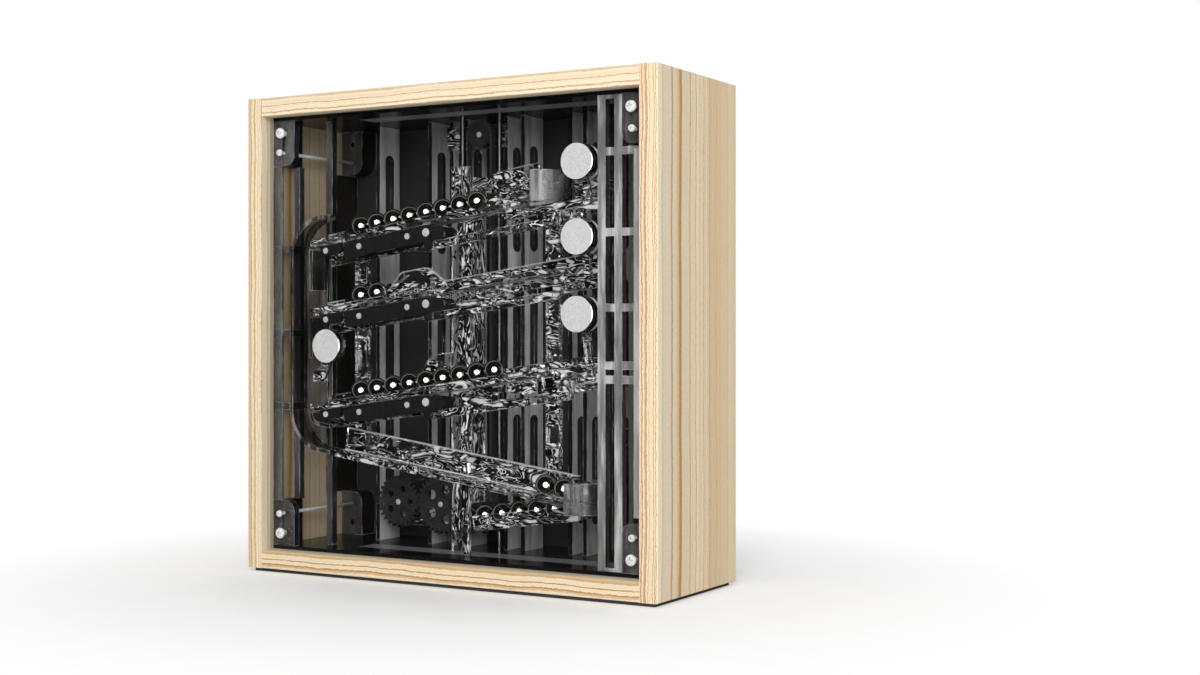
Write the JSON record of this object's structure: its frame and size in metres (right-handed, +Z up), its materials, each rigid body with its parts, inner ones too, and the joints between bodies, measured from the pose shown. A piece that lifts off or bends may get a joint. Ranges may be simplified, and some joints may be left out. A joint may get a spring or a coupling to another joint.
{
  "type": "rolling ball clock",
  "caption": "Mechanical clock that counts rolling steel balls on three sloping rows inside a glazed square wooden case, with an elevator behind them.",
  "frame": {"origin": "on the underside of the base, under the middle of the case", "axes": "+X to the right seen from the front, +Y to the back, +Z up; the glazed front faces -Y"},
  "size_m": [0.258, 0.088, 0.262],
  "materials": {
    "birch": "satin",
    "smoked_acrylic": "gloss",
    "clear_acrylic": "gloss",
    "charcoal_acrylic": "gloss",
    "liner_plastic": "satin",
    "back_plastic": "satin",
    "base_rubber": "matte",
    "ball_steel": "polished",
    "weight_steel": "satin",
    "screw_steel": "polished",
    "gear_plastic": "gloss",
    "belt_rubber": "matte",
    "carriage_plastic": "gloss",
    "motor_can": "satin",
    "circuit_board": "satin",
    "inlet_plastic": "satin"
  },
  "bodies": {
    "case": {"left_side": "birch", "right_side": "birch", "top_board": "birch", "bottom_board": "birch", "base_pad": "base_rubber", "liners": "liner_plastic", "front_panel": "smoked_acrylic", "back_panel": "back_plastic", "corner_brackets": "clear_acrylic", "screws": "screw_steel", "ribs": "clear_acrylic", "side_frames": "clear_acrylic", "row_supports": "clear_acrylic", "row_end_plates": "charcoal_acrylic", "axles": "screw_steel", "chute_rails": "clear_acrylic", "chute_back": "clear_acrylic", "feed_turn": "clear_acrylic", "return_turn": "clear_acrylic", "return_ramp": "clear_acrylic", "queue_track": "clear_acrylic", "feed_ramp": "clear_acrylic", "guide_rods": "screw_steel", "lift_belt": "belt_rubber", "shaft_walls": "clear_acrylic", "bearing_plates": "clear_acrylic", "lift_motor": "motor_can", "control_board": "circuit_board", "power_inlet": "inlet_plastic", "queue_balls": "ball_steel", "minute_track": "clear_acrylic", "ten_minute_track": "clear_acrylic", "hour_track": "clear_acrylic"},
    "minute_trip": {"minute_trip_lever": "clear_acrylic", "minute_trip_weight": "weight_steel"},
    "minute_gate": {"minute_gate": "charcoal_acrylic"},
    "minute_rod": {"minute_link_rod": "clear_acrylic"},
    "minute_ball_set": {"minute_balls": "ball_steel"},
    "ten_minute_trip": {"ten_minute_trip_lever": "clear_acrylic", "ten_minute_trip_weight": "weight_steel"},
    "ten_minute_gate": {"ten_minute_gate": "charcoal_acrylic"},
    "ten_minute_rod": {"ten_minute_link_rod": "clear_acrylic"},
    "ten_minute_ball_set": {"ten_minute_balls": "ball_steel"},
    "hour_trip": {"hour_trip_lever": "clear_acrylic", "hour_trip_weight": "weight_steel"},
    "hour_gate": {"hour_gate": "charcoal_acrylic"},
    "hour_rod": {"hour_link_rod": "clear_acrylic"},
    "hour_ball_set": {"hour_balls": "ball_steel"},
    "brake": {"brake_lever": "clear_acrylic", "brake_weight": "weight_steel"},
    "carriage": {"lift_carriage": "carriage_plastic", "lift_ball": "ball_steel"},
    "lift_drive": {"lift_gear": "gear_plastic", "drive_pulley": "gear_plastic", "lift_shaft": "screw_steel"},
    "head_wheel": {"top_pulley": "gear_plastic"},
    "idler": {"idler_gear": "gear_plastic"},
    "motor_drive": {"motor_gear": "gear_plastic", "motor_shaft": "screw_steel"}
  },
  "joints": [
    {"name": "minute_trip_pivot", "type": "hinge", "parent": "case", "child": "minute_trip", "pos_m": [0.06166, -0.026, 0.19591], "axis": [0, -1, 0], "range_deg": [0, 8]},
    {"name": "minute_gate_pivot", "type": "hinge", "parent": "case", "child": "minute_gate", "pos_m": [-0.0154, -0.026, 0.18521], "axis": [0, -1, 0], "range_deg": [0, 8]},
    {"name": "minute_rod_slide", "type": "slide", "parent": "case", "child": "minute_rod", "axis": [0.9905, 0, 0.1374], "range_m": [0, 0.00098]},
    {"name": "minute_ball_roll", "type": "slide", "parent": "case", "child": "minute_ball_set", "axis": [0.9905, 0, 0.1374], "range_m": [0, 0.01]},
    {"name": "ten_minute_trip_pivot", "type": "hinge", "parent": "case", "child": "ten_minute_trip", "pos_m": [0.06166, -0.026, 0.15821], "axis": [0, -1, 0], "range_deg": [0, 8]},
    {"name": "ten_minute_gate_pivot", "type": "hinge", "parent": "case", "child": "ten_minute_gate", "pos_m": [-0.0154, -0.026, 0.14752], "axis": [0, -1, 0], "range_deg": [0, 8]},
    {"name": "ten_minute_rod_slide", "type": "slide", "parent": "case", "child": "ten_minute_rod", "axis": [0.9905, 0, 0.1374], "range_m": [0, 0.00098]},
    {"name": "ten_minute_ball_roll", "type": "slide", "parent": "case", "child": "ten_minute_ball_set", "axis": [0.9905, 0, 0.1374], "range_m": [0, 0.033]},
    {"name": "hour_trip_pivot", "type": "hinge", "parent": "case", "child": "hour_trip", "pos_m": [0.06761, -0.026, 0.10708], "axis": [0, -1, 0], "range_deg": [0, 8]},
    {"name": "hour_gate_pivot", "type": "hinge", "parent": "case", "child": "hour_gate", "pos_m": [-0.0154, -0.026, 0.09556], "axis": [0, -1, 0], "range_deg": [0, 8]},
    {"name": "hour_rod_slide", "type": "slide", "parent": "case", "child": "hour_rod", "axis": [0.9905, 0, 0.1374], "range_m": [0, 0.00098]},
    {"name": "hour_ball_roll", "type": "slide", "parent": "case", "child": "hour_ball_set", "axis": [0.9905, 0, 0.1374], "range_m": [0, 0.022]},
    {"name": "brake_pivot", "type": "hinge", "parent": "case", "child": "brake", "pos_m": [-0.0895, -0.026, 0.127], "axis": [0, -1, 0], "range_deg": [0, 10]},
    {"name": "lift_slide", "type": "slide", "parent": "case", "child": "carriage", "axis": [0, 0, 1], "range_m": [0, 0.181]},
    {"name": "lift_drive_spin", "type": "hinge", "parent": "case", "child": "lift_drive", "pos_m": [-0.0035, 0.0063, 0.0374], "axis": [0, -1, 0], "range_deg": [0, 1355]},
    {"name": "head_wheel_spin", "type": "hinge", "parent": "case", "child": "head_wheel", "pos_m": [-0.0035, 0.0063, 0.2395], "axis": [0, -1, 0], "range_deg": [0, 1357]},
    {"name": "idler_spin", "type": "hinge", "parent": "case", "child": "idler", "pos_m": [-0.0325, 0.0063, 0.0374], "axis": [0, 1, 0], "range_deg": [0, 1182]},
    {"name": "motor_drive_spin", "type": "hinge", "parent": "case", "child": "motor_drive", "pos_m": [-0.0615, 0.0063, 0.0374], "axis": [0, -1, 0], "range_deg": [0, 1357]}
  ],
  "couplings": [
    {"joint": "minute_gate_pivot", "follows": "minute_trip_pivot", "ratio": 1},
    {"joint": "minute_rod_slide", "follows": "minute_trip_pivot", "m_per_rad": 0.007},
    {"joint": "ten_minute_gate_pivot", "follows": "ten_minute_trip_pivot", "ratio": 1},
    {"joint": "ten_minute_rod_slide", "follows": "ten_minute_trip_pivot", "m_per_rad": 0.007},
    {"joint": "hour_gate_pivot", "follows": "hour_trip_pivot", "ratio": 1},
    {"joint": "hour_rod_slide", "follows": "hour_trip_pivot", "m_per_rad": 0.007},
    {"joint": "lift_slide", "follows": "lift_drive_spin", "m_per_rad": 0.00765},
    {"joint": "head_wheel_spin", "follows": "lift_drive_spin", "ratio": 1},
    {"joint": "idler_spin", "follows": "lift_drive_spin", "ratio": 0.87097},
    {"joint": "motor_drive_spin", "follows": "lift_drive_spin", "ratio": 1}
  ]
}
